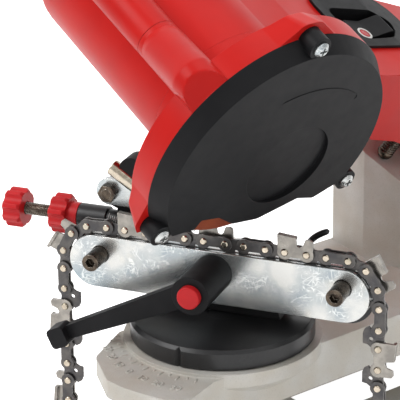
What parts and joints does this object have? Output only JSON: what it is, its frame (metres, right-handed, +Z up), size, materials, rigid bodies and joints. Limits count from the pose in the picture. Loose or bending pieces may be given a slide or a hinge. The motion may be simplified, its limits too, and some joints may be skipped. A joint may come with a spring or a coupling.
{
  "type": "electric chainsaw sharpener",
  "caption": "Bench chain grinder: a tilted motor head with a thin wheel swings down over a turning vise that clamps a saw chain, with a chain stop and a clamp lever.",
  "frame": {"origin": "on the bench, under the axis on which the vise turns", "axes": "+X to the operator's right, +Y back towards the column, +Z up"},
  "size_m": [0.1832, 0.2699, 0.2472],
  "materials": {
    "casting": "bare sand-textured casting",
    "black_metal": "satin black paint",
    "black_plastic": "fine matt grain",
    "red_plastic": "satin moulded plastic",
    "zinc": "zinc plated",
    "steel": "plain steel",
    "dark_steel": "browned steel",
    "abrasive": "bonded abrasive",
    "copper": "bare copper"
  },
  "bodies": {
    "stand": {"stand": "casting", "hinge_pin": "dark_steel", "hinge_nut": "dark_steel"},
    "vise": {"turntable": "black_metal", "pivot_bolt": "zinc", "vise_screws": "dark_steel", "vise_body": "black_metal", "rear_rail": "zinc", "rail_bolts": "dark_steel", "clamp_screw": "zinc", "chain_guide_rod": "dark_steel", "chain_drive_links": "steel", "chain_tie_straps": "steel", "chain_cutters": "zinc", "chain_rivets": "zinc"},
    "angle_lock": {"angle_lock_knob": "black_plastic"},
    "front_rail": {"front_rail": "zinc"},
    "clamp_lever": {"clamp_lever": "black_plastic"},
    "lever_button": {"lever_button": "red_plastic"},
    "stop_screw": {"stop_screw": "steel", "stop_adjust_knob": "red_plastic"},
    "stop_lock": {"stop_lock_knob": "red_plastic"},
    "stop_carriage": {"stop_carriage": "black_metal", "stop_arm_bolt": "dark_steel"},
    "stop_arm": {"stop_arm": "zinc", "stop_pin": "steel", "stop_grip": "black_plastic"},
    "head": {"front_housing": "red_plastic", "rear_housing": "red_plastic", "housing_screws": "zinc", "wheel_cover": "black_plastic", "cover_screws": "zinc", "switch_bezel": "black_plastic", "switch_body": "black_plastic", "cord_gland": "black_plastic", "depth_lock_nut": "steel", "stator": "dark_steel", "brush_holders": "copper", "carbon_brushes": "black_plastic", "front_bearing": "zinc", "rear_bearing": "zinc"},
    "spindle": {"grinding_wheel": "abrasive", "inner_flange": "steel", "outer_flange": "steel", "wheel_nut": "zinc", "motor_shaft": "steel", "rotor_core": "dark_steel", "commutator": "copper", "cooling_fan": "black_plastic"},
    "rocker": {"rocker": "red_plastic"},
    "depth_screw": {"depth_screw": "steel"},
    "depth_knob": {"depth_knob": "black_plastic"}
  },
  "joints": [
    {"name": "vise_turn", "type": "hinge", "parent": "stand", "child": "vise", "pos_m": [0, 0, 0.062], "axis": [0, 0, 1], "range_deg": [-65, 5]},
    {"name": "angle_lock_turn", "type": "hinge", "parent": "vise", "child": "angle_lock", "pos_m": [0, 0, 0.035], "axis": [0, 0, 1], "range_deg": [-180, 0]},
    {"name": "clamp_lever_turn", "type": "hinge", "parent": "vise", "child": "clamp_lever", "pos_m": [0.00783, -0.01857, 0.0926], "axis": [0.5, -0.866, 0], "range_deg": [-60, 0]},
    {"name": "front_rail_slide", "type": "slide", "parent": "vise", "child": "front_rail", "axis": [0.5, -0.866, 0], "range_m": [0, 0.00025]},
    {"name": "lever_button_push", "type": "slide", "parent": "clamp_lever", "child": "lever_button", "axis": [-0.5, 0.866, 0], "range_m": [0, 0.003], "stiffness_N_per_m": 250},
    {"name": "stop_screw_turn", "type": "hinge", "parent": "vise", "child": "stop_screw", "pos_m": [-0.0946, -0.03614, 0.1025], "axis": [0.866, 0.5, 0], "range_deg": [-1800, 0]},
    {"name": "stop_carriage_slide", "type": "slide", "parent": "vise", "child": "stop_carriage", "axis": [0.866, 0.5, 0], "range_m": [-0.005, 0]},
    {"name": "stop_lock_turn", "type": "hinge", "parent": "vise", "child": "stop_lock", "pos_m": [-0.08161, -0.02864, 0.1025], "axis": [0.866, 0.5, 0], "range_deg": [-180, 0]},
    {"name": "stop_arm_lift", "type": "hinge", "parent": "stop_carriage", "child": "stop_arm", "pos_m": [-0.05667, -0.01944, 0.1186], "axis": [0.5, -0.866, 0], "range_deg": [0, 15]},
    {"name": "head_swing", "type": "hinge", "parent": "stand", "child": "head", "pos_m": [-0.0192, 0.152, 0.12856], "axis": [-0.8934, 0, 0.4493], "range_deg": [0, 50]},
    {"name": "wheel_spin", "type": "hinge", "parent": "head", "child": "spindle", "pos_m": [0.0256, 0, 0.162], "axis": [0.8934, 0, -0.4493], "continuous": true},
    {"name": "rocker_tilt", "type": "hinge", "parent": "head", "child": "rocker", "pos_m": [-0.00951, 0.092, 0.18078], "axis": [0.8934, 0, -0.4493], "range_deg": [0, 14]},
    {"name": "depth_screw_travel", "type": "slide", "parent": "head", "child": "depth_screw", "axis": [0.4136, 0.3907, 0.8224], "range_m": [0, 0.008]},
    {"name": "depth_knob_turn", "type": "hinge", "parent": "depth_screw", "child": "depth_knob", "pos_m": [0.01035, 0.14435, 0.17396], "axis": [0.4136, 0.3907, 0.8224], "range_deg": [0, 2304]}
  ],
  "couplings": [
    {"joint": "clamp_lever_turn", "follows": "front_rail_slide", "rad_per_m": -4188.8},
    {"joint": "stop_screw_turn", "follows": "stop_carriage_slide", "rad_per_m": 6283.2},
    {"joint": "depth_knob_turn", "follows": "depth_screw_travel", "rad_per_m": 5026.5}
  ]
}
